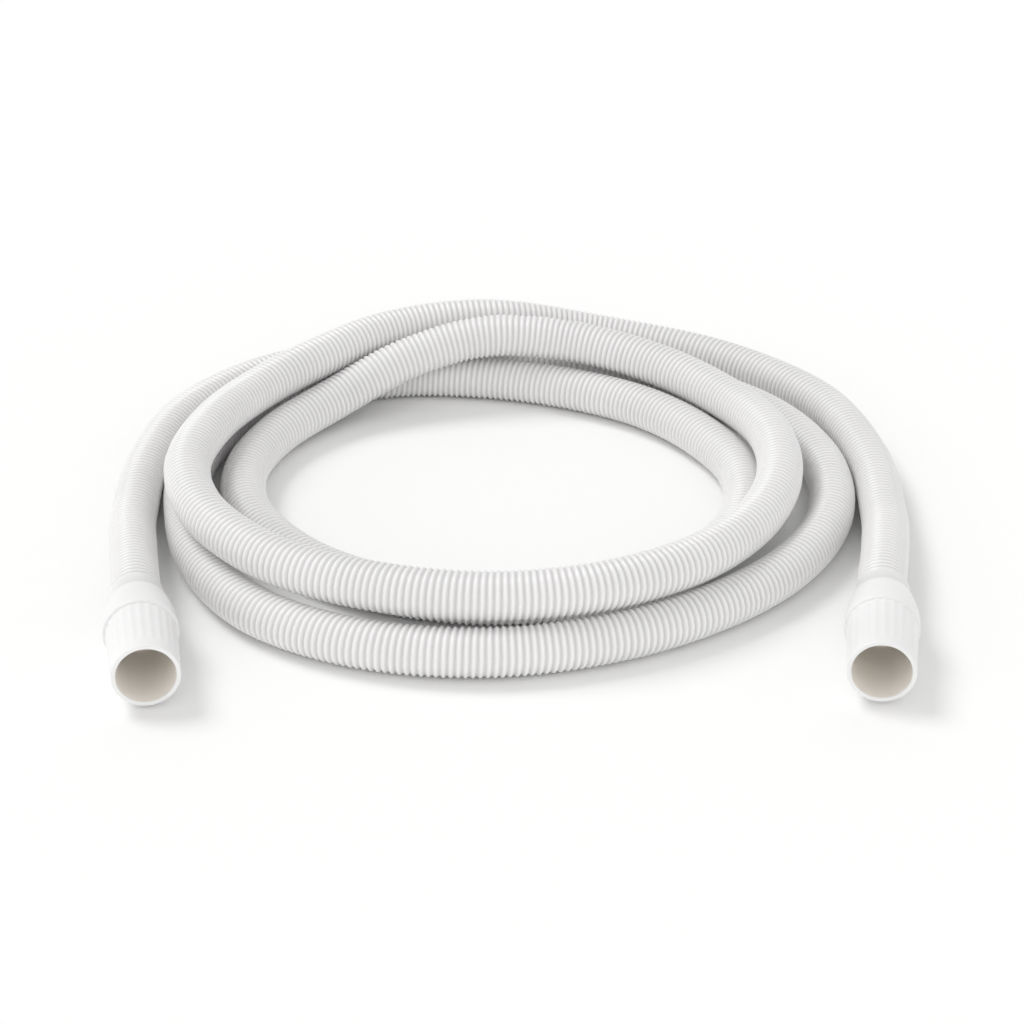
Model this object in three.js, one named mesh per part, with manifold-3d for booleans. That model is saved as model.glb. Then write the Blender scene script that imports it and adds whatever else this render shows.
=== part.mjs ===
// Flexible PVC suction hose, coiled as it is put away, with a push-on cuff on each end.
// Millimetres, +Z up. The hose lies on the floor in one continuous length, and both mouths face -Y.

import * as THREE from 'three';
import { mergeVertices } from 'three/addons/utils/BufferGeometryUtils.js';
import Module from 'manifold-3d';

// Hose: a thin corrugated tube, drawn plain at the middle of its ribs
const HOSE_OD = 38;
const HOSE_WALL = 3;
const RIB_DEPTH = 1.3;
const HOSE_SIDES = 12;

// Cuff, measured along its axis from the mouth to the back
const CUFF_LENGTH = 118;
const COLLAR_FRONT = 61;
const COLLAR_OD = 56;
const BELL_BACK_OD = 46;
const BELLY = 0.35;
const NECK_LENGTH = 8;
const NECK_OD = 41.2;
const MOUTH_OD = 49.8;
const SLEEVE_TAPER = 1.3;
const MOUTH_BORE = 43;
const SOCKET_TAPER = 0.7;
const SOCKET_DEPTH = 71;
const SHOULDER = 4;
const EDGE = 1;

// Grip flutes round the sleeve
const FLUTE_COUNT = 24;
const FLUTE_DEPTH = 0.45;
const FLUTE_CUTTER_RADIUS = 6;
const FLUTE_FRONT = 8;
const FLUTE_FADE = 6;
const FLUTE_STOP = 0.4;

// Clearances of the hose in the cuff
const SEAT_CLEARANCE = 0.3;
const END_GAP = 0.3;

// Where each cuff lies: middle of its mouth from the middle of the coil, and its turn about Z
const LEFT_CUFF = { x: -238.2, y: -313.6, turn: 11 };
const RIGHT_CUFF = { x: 284.1, y: -308.2, turn: -8 };

// The coil: radius of the hose's centreline at every 20 degrees of bearing, clockwise from above
const FIRST_BEARING = 190;
const BEARING_STEP = 20;
const RUN_IN = [288.5, 289, 302.5, 305, 288.5];
const OUTER_TURN = [
  262, 255, 271.5, 283.5, 286.5, 282.5, 273, 264, 262, 265.5, 268, 266.5, 254.5, 246, 250.5, 256, 253, 241,
];
const INNER_TURN = [
  223, 213, 211, 210, 213.5, 214, 210, 202.5, 194, 189, 186.5, 187, 190, 197.5, 204.5, 209, 210.5, 214,
];
const TOP_TURN = [
  221.5, 233, 239, 239, 239.5, 240, 241, 244, 245, 244, 243.5, 247, 248, 243.5, 234.5, 235, 238, 255,
];
const RUN_OUT = [270.5, 309.5, 336, 339, 327];

// How high the centreline runs above the strands on the floor, counted along the same bearings
const CLIMB = [1, 8, 28.5];
const TOP_RISE = [
  42, 37, 29.5, 27, 31.5, 31.5, 31.5, 33.5, 35, 35, 35.5, 36.5, 38.5, 38.5, 37, 32.5, 36.5, 40,
];
const DESCENT = [38, 13.5, 1.8, 0.3];

// How far the hose runs straight on behind each cuff, hand-laid points from there to the coil,
// and the little rise that is left where the left one meets it
const STRAIGHT_RUN = 20;
const LEFT_TAIL = [[-275, -117, 24.5]];
const RIGHT_TAIL = [[321.5, -48, 20], [313.5, -114, 24.5]];
const LEFT_TOUCHDOWN = 0.8;

const HOSE_BORE = HOSE_OD - 2 * HOSE_WALL;
const LATHE_STEPS = 2 * FLUTE_COUNT;
const FLOOR_RUN = HOSE_OD / 2;
const CUFF_AXIS_HEIGHT = COLLAR_OD / 2;
const SHOULDER_BACK = SOCKET_DEPTH + SHOULDER;
const SEAT_RADIUS = HOSE_OD / 2 + SEAT_CLEARANCE;
const SLEEVE_RADIUS = MOUTH_OD / 2 + SLEEVE_TAPER;

const solids = await Module();
solids.setup();

// One closed solid out of a three.js geometry
function solidOf(geometry) {
  const shell = geometry.clone();
  shell.deleteAttribute('normal');
  shell.deleteAttribute('uv');
  const merged = mergeVertices(shell, 1e-4);
  const vertProperties = new Float32Array(merged.attributes.position.array);
  const triVerts = new Uint32Array(merged.index.array);
  return new solids.Manifold(new solids.Mesh({ numProp: 3, vertProperties, triVerts }));
}

// A three.js geometry out of a closed solid
function geometryOf(solid) {
  const mesh = solid.getMesh();
  const geometry = new THREE.BufferGeometry();
  geometry.setAttribute('position', new THREE.BufferAttribute(mesh.vertProperties, 3));
  geometry.setIndex(new THREE.BufferAttribute(mesh.triVerts, 1));
  return geometry;
}

// A ring of revolution about Y, from a closed profile of [radius, distance along the axis]
function revolve(profile) {
  const points = profile.map(([radius, along]) => new THREE.Vector2(radius, along));
  points.push(points[0].clone());
  return new THREE.LatheGeometry(points, LATHE_STEPS);
}

// The cuff's outline, round the outside from the lip: sleeve, proud rim, bell, rounded neck,
// then back through the hose's seat, the inner shoulder and the tapered socket
function cuffProfile() {
  const lip = MOUTH_OD / 2;
  const bore = MOUTH_BORE / 2;
  const rim = COLLAR_OD / 2;
  const neck = NECK_OD / 2;
  const bellFront = COLLAR_FRONT + 2 * EDGE;
  const bellBack = CUFF_LENGTH - NECK_LENGTH;
  const start = new THREE.Vector2(rim, bellFront);
  const belly = new THREE.Vector2(rim, THREE.MathUtils.lerp(bellFront, bellBack, BELLY));
  const end = new THREE.Vector2(BELL_BACK_OD / 2, bellBack);
  const bell = new THREE.QuadraticBezierCurve(start, belly, end);
  const neckRound = new THREE.EllipseCurve(neck, bellBack, end.x - neck, NECK_LENGTH, 0, Math.PI / 2);
  const outside = [...bell.getPoints(6), ...neckRound.getPoints(4).slice(1)];
  return [
    [bore + EDGE, 0],
    [lip - EDGE, 0],
    [lip - 0.3 * EDGE, 0.3 * EDGE],
    [lip, EDGE],
    [SLEEVE_RADIUS, COLLAR_FRONT],
    [rim - EDGE, COLLAR_FRONT],
    [rim - 0.3 * EDGE, COLLAR_FRONT + 0.3 * EDGE],
    ...outside.map((point) => [point.x, point.y]),
    [SEAT_RADIUS, CUFF_LENGTH],
    [SEAT_RADIUS, SHOULDER_BACK],
    [HOSE_BORE / 2, SHOULDER_BACK],
    [HOSE_BORE / 2, SOCKET_DEPTH],
    [bore - SOCKET_TAPER, SOCKET_DEPTH],
    [bore, EDGE],
  ];
}

// One flute's cutter: a long round bar along the sleeve's slope, its nose thinned so that the groove fades
function fluteCutter() {
  const length = COLLAR_FRONT - FLUTE_STOP - FLUTE_FRONT;
  const profile = [
    new THREE.Vector2(0, 0),
    new THREE.Vector2(FLUTE_CUTTER_RADIUS - FLUTE_DEPTH, 0),
    new THREE.Vector2(FLUTE_CUTTER_RADIUS, FLUTE_FADE),
    new THREE.Vector2(FLUTE_CUTTER_RADIUS, length),
    new THREE.Vector2(0, length),
  ];
  const cutter = new THREE.LatheGeometry(profile, 20);
  const slope = SLEEVE_TAPER / (COLLAR_FRONT - EDGE);
  cutter.rotateZ(-Math.atan(slope));
  const surface = MOUTH_OD / 2 + slope * (FLUTE_FRONT - EDGE);
  cutter.translate(surface + FLUTE_CUTTER_RADIUS - FLUTE_DEPTH, FLUTE_FRONT, 0);
  return cutter;
}

function cuffGeometry() {
  let cuff = solidOf(revolve(cuffProfile()));
  const cutter = fluteCutter();
  for (let flute = 0; flute < FLUTE_COUNT; flute += 1) {
    const turned = cutter.clone().rotateY((2 * Math.PI * flute) / FLUTE_COUNT);
    cuff = cuff.subtract(solidOf(turned));
  }
  return geometryOf(cuff);
}

// A point on a cuff's axis, at a distance behind its mouth
function onCuffAxis(cuff, distance) {
  const turn = THREE.MathUtils.degToRad(cuff.turn);
  const back = new THREE.Vector3(-Math.sin(turn), Math.cos(turn), 0);
  return new THREE.Vector3(cuff.x, cuff.y, CUFF_AXIS_HEIGHT).addScaledVector(back, distance);
}

// The stations on the coil, one every 20 degrees of bearing from the left run to the right one
function coilStations() {
  const radii = [...RUN_IN, ...OUTER_TURN, ...INNER_TURN, ...TOP_TURN, ...RUN_OUT];
  const climbStart = RUN_IN.length + OUTER_TURN.length + INNER_TURN.length - CLIMB.length;
  const rises = new Array(radii.length).fill(0);
  rises[0] = LEFT_TOUCHDOWN;
  [...CLIMB, ...TOP_RISE, ...DESCENT].forEach((rise, index) => {
    rises[climbStart + index] = rise;
  });
  return radii.map((radius, index) => {
    const bearing = THREE.MathUtils.degToRad(FIRST_BEARING - BEARING_STEP * index);
    const height = FLOOR_RUN + rises[index];
    return new THREE.Vector3(radius * Math.cos(bearing), radius * Math.sin(bearing), height);
  });
}

// Every station from one cuff's shoulder to the other's
function hoseStations() {
  const seats = [SHOULDER_BACK + END_GAP, (SHOULDER_BACK + CUFF_LENGTH) / 2, CUFF_LENGTH + STRAIGHT_RUN];
  return [
    ...seats.map((distance) => onCuffAxis(LEFT_CUFF, distance)),
    ...LEFT_TAIL.map((point) => new THREE.Vector3(...point)),
    ...coilStations(),
    ...RIGHT_TAIL.map((point) => new THREE.Vector3(...point)),
    ...[...seats].reverse().map((distance) => onCuffAxis(RIGHT_CUFF, distance)),
  ];
}

// The hose's route, walked station by station, so that strands side by side bend at the same bearings
class HoseRoute extends THREE.Curve {
  constructor(stations) {
    super();
    this.spline = new THREE.CatmullRomCurve3(stations, false, 'catmullrom', 0.5);
  }

  getPoint(t, target = new THREE.Vector3()) {
    return this.spline.getPoint(t, target);
  }

  getPointAt(t, target) {
    return this.getPoint(t, target);
  }

  getTangentAt(t, target) {
    return this.getTangent(t, target);
  }
}

function hoseGeometry() {
  const stations = hoseStations();
  const firstCorner = Math.PI / HOSE_SIDES;
  const section = new THREE.Shape();
  section.absarc(0, 0, (HOSE_OD - RIB_DEPTH) / 2, firstCorner, firstCorner + 2 * Math.PI, false);
  const bore = new THREE.Path();
  bore.absarc(0, 0, HOSE_BORE / 2, firstCorner, firstCorner + 2 * Math.PI, false);
  section.holes.push(bore);
  return new THREE.ExtrudeGeometry(section, {
    steps: stations.length - 1,
    curveSegments: HOSE_SIDES / 2,
    extrudePath: new HoseRoute(stations),
  });
}

// Soft white PVC: the ribbed hose a little rougher than the moulded cuffs
const hosePvc = new THREE.MeshStandardMaterial({ color: 0xeeedeb, roughness: 0.5, metalness: 0 });
const cuffPvc = new THREE.MeshStandardMaterial({ color: 0xf0eff0, roughness: 0.42, metalness: 0 });

const assembly = new THREE.Group();

const hose = new THREE.Mesh(hoseGeometry(), hosePvc);
hose.name = 'hose';
assembly.add(hose);

for (const [name, place] of [['cuff_left', LEFT_CUFF], ['cuff_right', RIGHT_CUFF]]) {
  const cuff = new THREE.Mesh(cuffGeometry(), cuffPvc);
  cuff.name = name;
  cuff.position.set(place.x, place.y, CUFF_AXIS_HEIGHT);
  cuff.rotation.z = THREE.MathUtils.degToRad(place.turn);
  assembly.add(cuff);
}

// The origin is the middle of the floor area that the coil covers
const extent = new THREE.Box3().setFromObject(assembly, true);
const middle = extent.getCenter(new THREE.Vector3());
assembly.position.set(-middle.x, -middle.y, -extent.min.z);

export default assembly;
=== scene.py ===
import math

import bmesh
import bpy
import numpy as np
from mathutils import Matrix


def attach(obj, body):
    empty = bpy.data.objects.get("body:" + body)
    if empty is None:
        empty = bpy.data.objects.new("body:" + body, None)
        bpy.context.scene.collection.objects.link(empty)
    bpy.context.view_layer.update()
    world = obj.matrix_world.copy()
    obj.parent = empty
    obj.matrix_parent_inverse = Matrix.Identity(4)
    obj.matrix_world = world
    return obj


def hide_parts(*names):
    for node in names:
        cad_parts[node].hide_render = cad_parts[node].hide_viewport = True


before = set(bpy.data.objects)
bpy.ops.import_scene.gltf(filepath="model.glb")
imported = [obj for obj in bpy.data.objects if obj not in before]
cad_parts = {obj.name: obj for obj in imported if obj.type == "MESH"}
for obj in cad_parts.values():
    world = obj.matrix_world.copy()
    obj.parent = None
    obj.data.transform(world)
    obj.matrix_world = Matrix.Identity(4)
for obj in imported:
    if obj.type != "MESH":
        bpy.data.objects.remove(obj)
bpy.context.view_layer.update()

# Camera
# A long lens from in front and well above, level with the horizon, so that both mouths
# look at it and the coil shows as a flat oval.
CAMERA_PITCH = math.radians(27.3)
CAMERA_HEIGHT = 0.9115
CAMERA_LENS = 84.375
CAMERA_AIM = (0.0025, -0.001)

view = bpy.data.cameras.new("view")
view.lens = CAMERA_LENS
view.sensor_width = 36
view.clip_end = 60
camera = bpy.data.objects.new("view", view)
camera.location = (CAMERA_AIM[0], CAMERA_AIM[1] - CAMERA_HEIGHT / math.tan(CAMERA_PITCH), CAMERA_HEIGHT)
camera.rotation_euler = (math.pi / 2 - CAMERA_PITCH, 0, 0)
bpy.context.scene.collection.objects.link(camera)
bpy.context.scene.camera = camera


# Hose
# One continuous length of soft PVC strip, wound into a corrugated tube 38 mm over its ribs.
# It lies on the floor in three loose clockwise turns, the last one on top of the others.
MM = 0.001
COIL_MIDDLE = (-0.0187, 0.00463)
HOSE_RADIUS = 0.019
HOSE_BORE_RADIUS = 0.016
RIB_PITCH = 0.0052
RIB_DEPTH = 0.0017
CUFF_LENGTH = 0.118
CUFF_AXIS_HEIGHT = 0.028
SHOULDER_BACK = 0.075
END_GAP = 0.0003
STRAIGHT_RUN = 0.02
LEFT_CUFF = {"mouth": (-0.2382, -0.3136), "turn": math.radians(11)}
RIGHT_CUFF = {"mouth": (0.2841, -0.3082), "turn": math.radians(-8)}

# Radius of the centreline in millimetres at every 20 degrees of bearing, clockwise from above
FIRST_BEARING = 190
BEARING_STEP = 20
RUN_IN = [288.5, 289, 302.5, 305, 288.5]
OUTER_TURN = [
    262, 255, 271.5, 283.5, 286.5, 282.5, 273, 264, 262, 265.5, 268, 266.5, 254.5, 246, 250.5, 256, 253, 241,
]
INNER_TURN = [
    223, 213, 211, 210, 213.5, 214, 210, 202.5, 194, 189, 186.5, 187, 190, 197.5, 204.5, 209, 210.5, 214,
]
TOP_TURN = [
    221.5, 233, 239, 239, 239.5, 240, 241, 244, 245, 244, 243.5, 247, 248, 243.5, 234.5, 235, 238, 255,
]
RUN_OUT = [270.5, 309.5, 336, 339, 327]

# Rise of the centreline above one that lies on the floor, in millimetres, along the same bearings
CLIMB = [1, 8, 28.5]
TOP_RISE = [
    42, 37, 29.5, 27, 31.5, 31.5, 31.5, 33.5, 35, 35, 35.5, 36.5, 38.5, 38.5, 37, 32.5, 36.5, 40,
]
DESCENT = [38, 13.5, 1.8, 0.3]
LEFT_TAIL = [(-275, -117, 24.5)]
LEFT_TOUCHDOWN = 0.8
RIGHT_TAIL = [(321.5, -48, 20), (313.5, -114, 24.5)]


def on_cuff_axis(cuff, distance):
    x, y = cuff["mouth"]
    return (
        x - distance * math.sin(cuff["turn"]),
        y + distance * math.cos(cuff["turn"]),
        CUFF_AXIS_HEIGHT,
    )


def hose_stations():
    radii = RUN_IN + OUTER_TURN + INNER_TURN + TOP_TURN + RUN_OUT
    rises = [0] * len(radii)
    rises[0] = LEFT_TOUCHDOWN
    climb_start = len(RUN_IN) + len(OUTER_TURN) + len(INNER_TURN) - len(CLIMB)
    for index, rise in enumerate(CLIMB + TOP_RISE + DESCENT):
        rises[climb_start + index] = rise
    seats = [SHOULDER_BACK + END_GAP, (SHOULDER_BACK + CUFF_LENGTH) / 2, CUFF_LENGTH + STRAIGHT_RUN]
    stations = [on_cuff_axis(LEFT_CUFF, distance) for distance in seats]
    stations += [tuple(MM * v for v in point) for point in LEFT_TAIL]
    for index, (radius, rise) in enumerate(zip(radii, rises)):
        bearing = math.radians(FIRST_BEARING - BEARING_STEP * index)
        x = MM * radius * math.cos(bearing)
        y = MM * radius * math.sin(bearing)
        stations.append((x, y, HOSE_RADIUS + MM * rise))
    stations += [tuple(MM * v for v in point) for point in RIGHT_TAIL]
    stations += [on_cuff_axis(RIGHT_CUFF, distance) for distance in reversed(seats)]
    return np.array(stations) + (*COIL_MIDDLE, 0)


def smooth_route(stations, parts=24):
    """Catmull-Rom points through the stations, close enough together to follow its curve."""
    first = 2 * stations[0] - stations[1]
    last = 2 * stations[-1] - stations[-2]
    p = np.vstack([first, stations, last])
    t = np.linspace(0, 1, parts, endpoint=False)[:, None]
    route = []
    for a, b, c, d in zip(p[:-3], p[1:-2], p[2:-1], p[3:]):
        route.append(
            0.5 * (2 * b + (c - a) * t + (2 * a - 5 * b + 4 * c - d) * t**2 + (3 * b - a - 3 * c + d) * t**3)
        )
    return np.vstack([*route, stations[-1:]])


class Centreline:
    """The route by distance along it, with a level side vector and an upright one at each place."""

    def __init__(self, points):
        self.points = points
        gaps = np.linalg.norm(np.diff(points, axis=0), axis=1)
        self.distance = np.concatenate([[0], np.cumsum(gaps)])
        self.length = float(self.distance[-1])
        self.tangent = np.gradient(points, self.distance, axis=0)

    def at(self, distance):
        place = np.stack([np.interp(distance, self.distance, self.points[:, k]) for k in range(3)], -1)
        along = np.stack([np.interp(distance, self.distance, self.tangent[:, k]) for k in range(3)], -1)
        along /= np.linalg.norm(along, axis=-1, keepdims=True)
        side = np.cross(along, (0, 0, 1))
        side /= np.linalg.norm(side, axis=-1, keepdims=True)
        return place, side, np.cross(side, along)


def piece_from(name, vertices, faces, material, crest=None, merge=1e-6):
    """A smooth-shaded closed piece that rides on the part's one body."""
    mesh = bpy.data.meshes.new(name)
    mesh.from_pydata([tuple(v) for v in vertices], [], faces)
    if crest is not None:
        mesh.attributes.new("crest", "FLOAT", "POINT").data.foreach_set("value", crest)
    shape = bmesh.new()
    shape.from_mesh(mesh)
    bmesh.ops.remove_doubles(shape, verts=shape.verts, dist=merge)
    bmesh.ops.recalc_face_normals(shape, faces=shape.faces)
    shape.to_mesh(mesh)
    shape.free()
    mesh.shade_smooth()
    mesh.materials.append(material)
    piece = bpy.data.objects.new(name, mesh)
    bpy.context.scene.collection.objects.link(piece)
    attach(piece, "root")
    return piece


def soft_pvc(name, colour, roughness, grain_size, grain_depth):
    """White plasticised PVC: slightly uneven pigment, a fine skin texture and a soft satin gloss."""
    material = bpy.data.materials.new(name)
    material.use_nodes = True
    nodes = material.node_tree.nodes
    links = material.node_tree.links
    shader = nodes["Principled BSDF"]
    shader.inputs["IOR"].default_value = 1.53
    shader.inputs["Specular IOR Level"].default_value = 0.4

    place = nodes.new("ShaderNodeTexCoord")
    cloud = nodes.new("ShaderNodeTexNoise")
    cloud.inputs["Scale"].default_value = 14
    cloud.inputs["Detail"].default_value = 4
    links.new(place.outputs["Object"], cloud.inputs["Vector"])
    tint = nodes.new("ShaderNodeValToRGB")
    tint.color_ramp.elements[0].position = 0.35
    tint.color_ramp.elements[0].color = (*[0.965 * c for c in colour], 1)
    tint.color_ramp.elements[1].position = 0.65
    tint.color_ramp.elements[1].color = (*colour, 1)
    links.new(cloud.outputs["Fac"], tint.inputs["Fac"])
    links.new(tint.outputs["Color"], shader.inputs["Base Color"])

    scuff = nodes.new("ShaderNodeTexNoise")
    scuff.inputs["Scale"].default_value = 60
    scuff.inputs["Detail"].default_value = 6
    links.new(place.outputs["Object"], scuff.inputs["Vector"])
    gloss = nodes.new("ShaderNodeMapRange")
    gloss.inputs["To Min"].default_value = roughness - 0.06
    gloss.inputs["To Max"].default_value = roughness + 0.08
    links.new(scuff.outputs["Fac"], gloss.inputs["Value"])
    links.new(gloss.outputs["Result"], shader.inputs["Roughness"])

    grain = nodes.new("ShaderNodeTexNoise")
    grain.inputs["Scale"].default_value = 1 / grain_size
    grain.inputs["Detail"].default_value = 3
    links.new(place.outputs["Object"], grain.inputs["Vector"])
    skin = nodes.new("ShaderNodeBump")
    skin.inputs["Strength"].default_value = 0.35
    skin.inputs["Distance"].default_value = grain_depth
    links.new(grain.outputs["Fac"], skin.inputs["Height"])
    links.new(skin.outputs["Normal"], shader.inputs["Normal"])
    return material


# Painted shade: the colour that the grooves between the ribs are darkened by
PAINTED_GROOVE_SHADE = (0.765, 0.755, 0.755)


def paint_groove_shade(material):
    """Painted shade in the grooves: the web between the ribs is drawn greyer than their crests, partly a
    guessed thinner, duller web and partly the shade that falls in the grooves.
    """
    nodes = material.node_tree.nodes
    links = material.node_tree.links
    base = nodes["Principled BSDF"].inputs["Base Color"]
    rib = nodes.new("ShaderNodeAttribute")
    rib.attribute_name = "crest"
    groove_shade_ramp = nodes.new("ShaderNodeValToRGB")
    groove_shade_ramp.color_ramp.elements[0].position = 0.05
    groove_shade_ramp.color_ramp.elements[0].color = (*PAINTED_GROOVE_SHADE, 1)
    groove_shade_ramp.color_ramp.elements[1].position = 0.92
    groove_shade_ramp.color_ramp.elements[1].color = (1, 1, 1, 1)
    links.new(rib.outputs["Fac"], groove_shade_ramp.inputs["Fac"])
    shaded = nodes.new("ShaderNodeMix")
    shaded.data_type = "RGBA"
    shaded.blend_type = "MULTIPLY"
    shaded.inputs["Factor"].default_value = 1
    links.new(base.links[0].from_socket, shaded.inputs["A"])
    links.new(groove_shade_ramp.outputs["Color"], shaded.inputs["B"])
    links.new(shaded.outputs["Result"], base)


# Rows of the ribbed wall within one pitch: place along the pitch and depth below the crest,
# round crests with a rounded valley between them
RIB_ROWS = [(0.0, 1.0), (0.2, 0.65), (0.38, 0.08), (0.62, 0.08), (0.8, 0.65)]
ROUND_SIDES = 17
LINING_DEPTH = 0.06
LINING_STEPS = 6


def ribbed_wall(line):
    """Rows of one long helix, one pitch further on after each time round, closed inward at both ends."""
    turns = math.ceil(line.length / RIB_PITCH) + 2
    rows = len(RIB_ROWS)
    angle = np.arange(ROUND_SIDES) / ROUND_SIDES
    start = -RIB_PITCH
    distance = []
    radius = []
    for turn in range(turns):
        for along, depth in RIB_ROWS:
            distance.append(start + (turn + along + angle) * RIB_PITCH)
            radius.append(np.full(ROUND_SIDES, HOSE_RADIUS - depth * RIB_DEPTH))
    distance = np.clip(np.array(distance), 0, line.length)
    radius = np.array(radius)
    at_end = (distance <= 0) | (distance >= line.length)
    radius[at_end] = HOSE_RADIUS - RIB_DEPTH / 2
    crest = 1 - (HOSE_RADIUS - radius) / RIB_DEPTH
    place, side, up = line.at(distance)
    swing = 2 * math.pi * angle
    vertices = place + radius[..., None] * (np.cos(swing)[:, None] * side + np.sin(swing)[:, None] * up)
    count = len(distance)

    def corner(row, column):
        if column == ROUND_SIDES:
            return min(row + rows, count - 1) * ROUND_SIDES
        return row * ROUND_SIDES + column

    faces = []
    for row in range(count - 1):
        for column in range(ROUND_SIDES):
            near = (corner(row, column), corner(row, column + 1))
            far = (corner(row + 1, column + 1), corner(row + 1, column))
            faces.append((*near, *far))
    return vertices.reshape(-1, 3), faces, crest.ravel()


def end_lining(line, at_start):
    """The cut end and the plain inner wall behind it, as far in as anyone can see."""
    inward = 1 if at_start else -1
    end = 0 if at_start else line.length
    steps = [(0, HOSE_RADIUS - RIB_DEPTH / 2), (0, HOSE_BORE_RADIUS)]
    for step in range(1, LINING_STEPS + 1):
        steps.append((step * LINING_DEPTH / LINING_STEPS, HOSE_BORE_RADIUS))
    swing = 2 * math.pi * np.arange(ROUND_SIDES) / ROUND_SIDES
    rings = []
    for depth, radius in steps:
        place, side, up = line.at(np.full(ROUND_SIDES, end + inward * depth))
        rings.append(place + radius * (np.cos(swing)[:, None] * side + np.sin(swing)[:, None] * up))
    faces = []
    for ring in range(len(rings) - 1):
        for column in range(ROUND_SIDES):
            right = (column + 1) % ROUND_SIDES
            low = ring * ROUND_SIDES
            high = low + ROUND_SIDES
            faces.append((low + column, low + right, high + right, high + column))
    last = (len(rings) - 1) * ROUND_SIDES
    faces.append(tuple(last + column for column in range(ROUND_SIDES)))
    return np.vstack(rings), faces


route = Centreline(smooth_route(hose_stations()))
wall, wall_faces, wall_crest = ribbed_wall(route)
parts = [(wall, wall_faces), end_lining(route, True), end_lining(route, False)]
hose_vertices = np.vstack([vertices for vertices, _ in parts])
hose_faces = []
offset = 0
for vertices, faces in parts:
    hose_faces += [tuple(offset + v for v in face) for face in faces]
    offset += len(vertices)

hose_crest = np.ones(len(hose_vertices))
hose_crest[: len(wall_crest)] = wall_crest

hose_pvc = soft_pvc("ribbed soft PVC", (0.905, 0.90, 0.896), 0.33, 0.0011, 0.00005)
# Painted shade darkens the grooves between the ribs
paint_groove_shade(hose_pvc)
hose = piece_from("ribbed_hose", hose_vertices, hose_faces, hose_pvc, hose_crest)
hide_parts("hose")


# Cuffs
# One moulding of softer PVC on each end: a socket with a rounded lip and shallow grip flutes,
# and a proud bell that narrows to hug the hose, which is glued inside it against a shoulder.
COLLAR_FRONT = 0.061
COLLAR_RADIUS = 0.028
BELL_BACK = 0.095
BELL_BACK_RADIUS = 0.024
BELLY = 0.5
SHOULDER_LENGTH = 0.006
NECK_RADIUS = 0.0206
NECK_EDGE = 0.0006
MOUTH_RADIUS = 0.0249
SLEEVE_RADIUS = 0.0262
MOUTH_BORE_RADIUS = 0.0215
SOCKET_BOTTOM_RADIUS = 0.0208
SOCKET_DEPTH = 0.071
SEAT_RADIUS = 0.0193
LIP_ROUND = 0.0011
RIM_ROUND = 0.0012
RIM_FILLET = 0.0005
SOCKET_ROUND = 0.001
SLEEVE_ROWS = 22
BELL_ROWS = 16
SHOULDER_ROWS = 8
SOCKET_ROWS = 8
FLUTE_COUNT = 24
FLUTE_STEPS = 8
FLUTE_DEPTH = 0.00045
FLUTE_SHARE = 0.78
FLUTE_MARGIN = 0.003
FLUTE_FRONT = 0.008
FLUTE_FADE = 0.006


def arc(middle, radius, start, end, steps=5):
    """Points of a rounded edge, from one angle to the other in degrees."""
    return [
        (
            middle[0] + radius * math.cos(math.radians(start + (end - start) * k / steps)),
            middle[1] + radius * math.sin(math.radians(start + (end - start) * k / steps)),
        )
        for k in range(steps + 1)
    ]


def cuff_profile():
    """Radius and distance from the mouth, round the outside from the lip and back through the bore."""
    profile = arc((MOUTH_BORE_RADIUS + LIP_ROUND, LIP_ROUND), LIP_ROUND, 180, 270)
    profile += arc((MOUTH_RADIUS - LIP_ROUND, LIP_ROUND), LIP_ROUND, 270, 360)
    sleeve = np.linspace(FLUTE_FRONT - FLUTE_MARGIN, COLLAR_FRONT - RIM_ROUND, SLEEVE_ROWS)
    slope = (SLEEVE_RADIUS - MOUTH_RADIUS) / COLLAR_FRONT
    profile += [(MOUTH_RADIUS + slope * along, along) for along in sleeve]
    profile += arc((SLEEVE_RADIUS + RIM_FILLET, COLLAR_FRONT - RIM_FILLET), RIM_FILLET, 180, 90, 3)
    profile += arc((COLLAR_RADIUS - RIM_ROUND, COLLAR_FRONT + RIM_ROUND), RIM_ROUND, 270, 360)
    bell_front = COLLAR_FRONT + RIM_ROUND
    belly = bell_front + BELLY * (BELL_BACK - bell_front)
    for k in range(1, BELL_ROWS + 1):
        t = k / BELL_ROWS
        reach = (1 - t) ** 2 * bell_front + 2 * t * (1 - t) * belly + t**2 * BELL_BACK
        radius = (1 - t**2) * COLLAR_RADIUS + t**2 * BELL_BACK_RADIUS
        profile.append((radius, reach))
    for k in range(1, SHOULDER_ROWS + 1):
        swing = math.radians(90 * k / SHOULDER_ROWS)
        radius = NECK_RADIUS + (BELL_BACK_RADIUS - NECK_RADIUS) * math.cos(swing)
        profile.append((radius, BELL_BACK + SHOULDER_LENGTH * math.sin(swing)))
    profile += arc((NECK_RADIUS - NECK_EDGE, CUFF_LENGTH - NECK_EDGE), NECK_EDGE, 0, 90, 3)
    profile += [(SEAT_RADIUS, CUFF_LENGTH), (SEAT_RADIUS, SHOULDER_BACK)]
    profile += [(HOSE_BORE_RADIUS, SHOULDER_BACK), (HOSE_BORE_RADIUS, SOCKET_DEPTH)]
    socket_end = SOCKET_DEPTH - SOCKET_ROUND
    profile += arc((SOCKET_BOTTOM_RADIUS - SOCKET_ROUND, socket_end), SOCKET_ROUND, 90, 0, 4)
    for k in range(1, SOCKET_ROWS):
        t = k / SOCKET_ROWS
        radius = SOCKET_BOTTOM_RADIUS + t * (MOUTH_BORE_RADIUS - SOCKET_BOTTOM_RADIUS)
        profile.append((radius, (1 - t) * socket_end + t * LIP_ROUND))
    return profile


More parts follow.
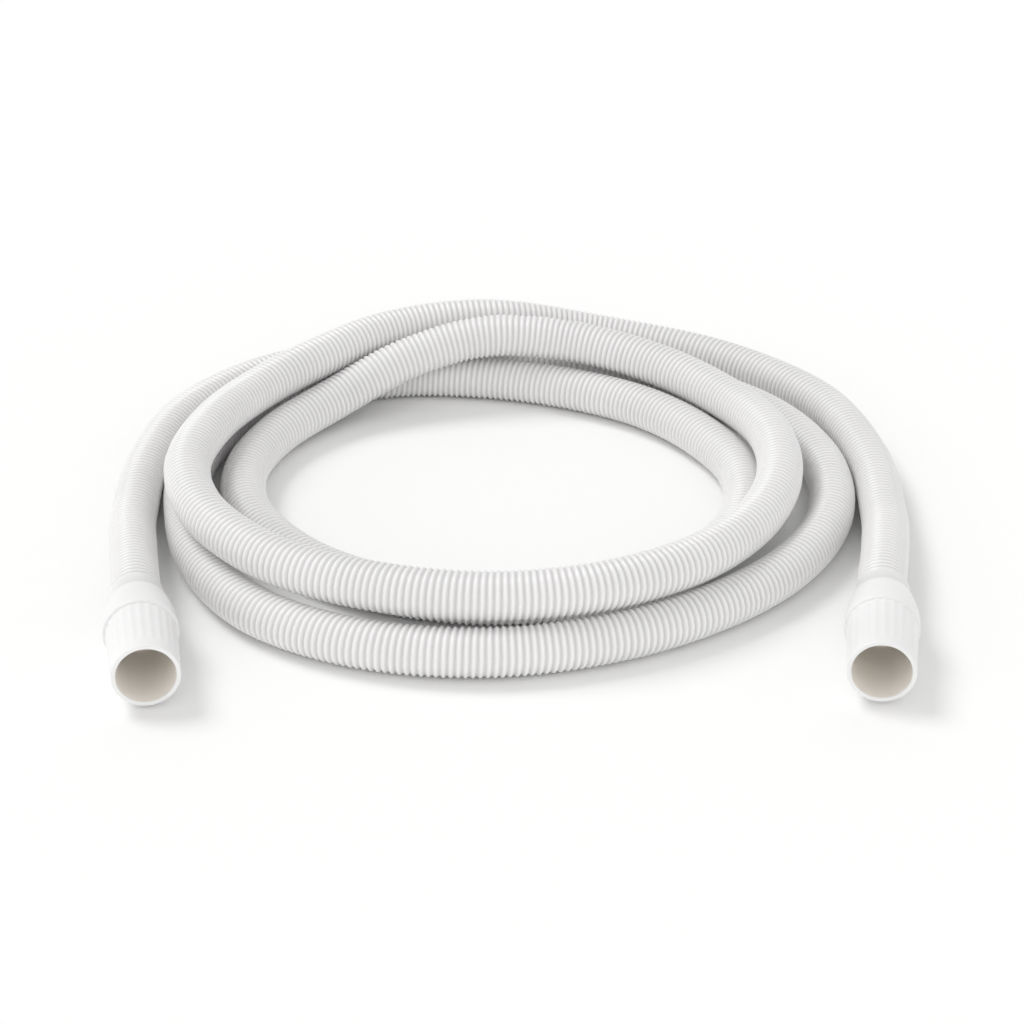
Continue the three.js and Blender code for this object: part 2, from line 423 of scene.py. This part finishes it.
def flute_cut(radius, along, turn):
    """How deep the grip flutes cut the sleeve: shallow scallops that fade out before the lip."""
    if radius < MOUTH_RADIUS - LIP_ROUND / 2 or not FLUTE_FRONT < along < COLLAR_FRONT:
        return 0
    across = abs((turn * FLUTE_COUNT) % 1 - 0.5) * 2
    scallop = max(0, 1 - (across / FLUTE_SHARE) ** 2)
    fade = min(1, (along - FLUTE_FRONT) / FLUTE_FADE)
    return FLUTE_DEPTH * scallop * fade * fade * (3 - 2 * fade)


def cuff(name, place, node):
    profile = cuff_profile()
    sides = FLUTE_COUNT * FLUTE_STEPS
    back = np.array((-math.sin(place["turn"]), math.cos(place["turn"]), 0))
    side = np.array((math.cos(place["turn"]), math.sin(place["turn"]), 0))
    mouth = np.array((*place["mouth"], CUFF_AXIS_HEIGHT)) + (*COIL_MIDDLE, 0)
    vertices = []
    for radius, along in profile:
        for column in range(sides):
            turn = column / sides
            reach = radius - flute_cut(radius, along, turn)
            swing = 2 * math.pi * turn
            spoke = math.sin(swing) * side + math.cos(swing) * np.array((0, 0, 1))
            vertices.append(mouth + along * back + reach * spoke)
    faces = []
    rows = len(profile)
    for row in range(rows):
        for column in range(sides):
            right = (column + 1) % sides
            ahead = (row + 1) % rows * sides
            faces.append((row * sides + column, row * sides + right, ahead + right, ahead + column))
    piece = piece_from(name, vertices, faces, cuff_pvc)
    # Painted light: faces inside the socket take a lighter, warmer copy of the PVC, standing in for light
    # glowing through the wall and bouncing inside
    piece.data.materials.append(bore_painted_light_pvc)
    bore_start = 0.4 * LIP_ROUND
    bore_limit = MOUTH_BORE_RADIUS + 0.1 * LIP_ROUND
    for face in piece.data.polygons:
        reach = np.array(face.center) - mouth
        along = reach @ back
        from_axis = np.linalg.norm(reach - along * back)
        inside = bore_start < along < SHOULDER_BACK and from_axis < bore_limit
        face.material_index = 1 if inside else 0
    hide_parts(node)
    return piece


cuff_pvc = soft_pvc("moulded soft PVC", (0.88, 0.876, 0.872), 0.36, 0.0016, 0.00004)
# Painted light: the bore is drawn lighter and warmer than the cuff, for the glow inside the socket
bore_painted_light_pvc = soft_pvc("bore PVC with painted light", (0.97, 0.93, 0.87), 0.5, 0.0016, 0.00004)
cuffs = [cuff("left_cuff", LEFT_CUFF, "cuff_left"), cuff("right_cuff", RIGHT_CUFF, "cuff_right")]


# Floor
# A plain white studio floor that runs on past every edge of the picture,
# and keeps the hose's shadow.
FLOOR_REACH = 12
floor_corners = [
    (-FLOOR_REACH, -FLOOR_REACH, 0),
    (FLOOR_REACH, -FLOOR_REACH, 0),
    (FLOOR_REACH, FLOOR_REACH, 0),
    (-FLOOR_REACH, FLOOR_REACH, 0),
]
floor_mesh = bpy.data.meshes.new("studio_floor")
floor_mesh.from_pydata(floor_corners, [], [(0, 1, 2, 3)])
floor = bpy.data.objects.new("studio_floor", floor_mesh)
bpy.context.scene.collection.objects.link(floor)
floor_paint = bpy.data.materials.new("white studio floor")
floor_paint.use_nodes = True
floor_shader = floor_paint.node_tree.nodes["Principled BSDF"]
floor_shader.inputs["Base Color"].default_value = (0.97, 0.97, 0.965, 1)
floor_shader.inputs["Roughness"].default_value = 1
floor_shader.inputs["Specular IOR Level"].default_value = 0
floor_mesh.materials.append(floor_paint)


# Light
# A white room whose walls are brighter than its ceiling, most of all the one behind the camera,
# and one broad soft lamp from high on the left and a little behind.
WALL_LEVEL = 1.1
CEILING_LEVEL = 0.6
FRONT_GAIN = 0.22
KEY_LEVEL = 1.05
KEY_SOFTNESS = math.radians(25)
KEY_LEAN_BACK = math.radians(-18)
KEY_LEAN_LEFT = math.radians(-32)
bpy.context.scene.view_settings.view_transform = "Standard"
room = bpy.data.worlds.new("white room")
bpy.context.scene.world = room
room.use_nodes = True
room_nodes = room.node_tree.nodes
room_links = room.node_tree.links
fill = room_nodes["Background"]
fill.inputs["Color"].default_value = (1, 1, 1, 1)
direction = room_nodes.new("ShaderNodeTexCoord")
towards = room_nodes.new("ShaderNodeSeparateXYZ")
room_links.new(direction.outputs["Generated"], towards.inputs["Vector"])
rise = room_nodes.new("ShaderNodeMapRange")
rise.inputs["To Min"].default_value = WALL_LEVEL
rise.inputs["To Max"].default_value = CEILING_LEVEL
room_links.new(towards.outputs["Z"], rise.inputs["Value"])
front = room_nodes.new("ShaderNodeMath")
front.operation = "MULTIPLY_ADD"
front.inputs[1].default_value = -FRONT_GAIN
room_links.new(towards.outputs["Y"], front.inputs[0])
room_links.new(rise.outputs["Result"], front.inputs[2])
room_links.new(front.outputs["Value"], fill.inputs["Strength"])
seen = room_nodes.new("ShaderNodeBackground")
seen.inputs["Color"].default_value = (1, 1, 1, 1)
seen.inputs["Strength"].default_value = 1
ray = room_nodes.new("ShaderNodeLightPath")
choice = room_nodes.new("ShaderNodeMixShader")
room_links.new(ray.outputs["Is Camera Ray"], choice.inputs["Fac"])
room_links.new(fill.outputs["Background"], choice.inputs[1])
room_links.new(seen.outputs["Background"], choice.inputs[2])
room_links.new(choice.outputs["Shader"], room_nodes["World Output"].inputs["Surface"])

key = bpy.data.lights.new("key", "SUN")
key.energy = KEY_LEVEL
key.angle = KEY_SOFTNESS
key_lamp = bpy.data.objects.new("key", key)
key_lamp.rotation_euler = (KEY_LEAN_BACK, KEY_LEAN_LEFT, 0)
bpy.context.scene.collection.objects.link(key_lamp)
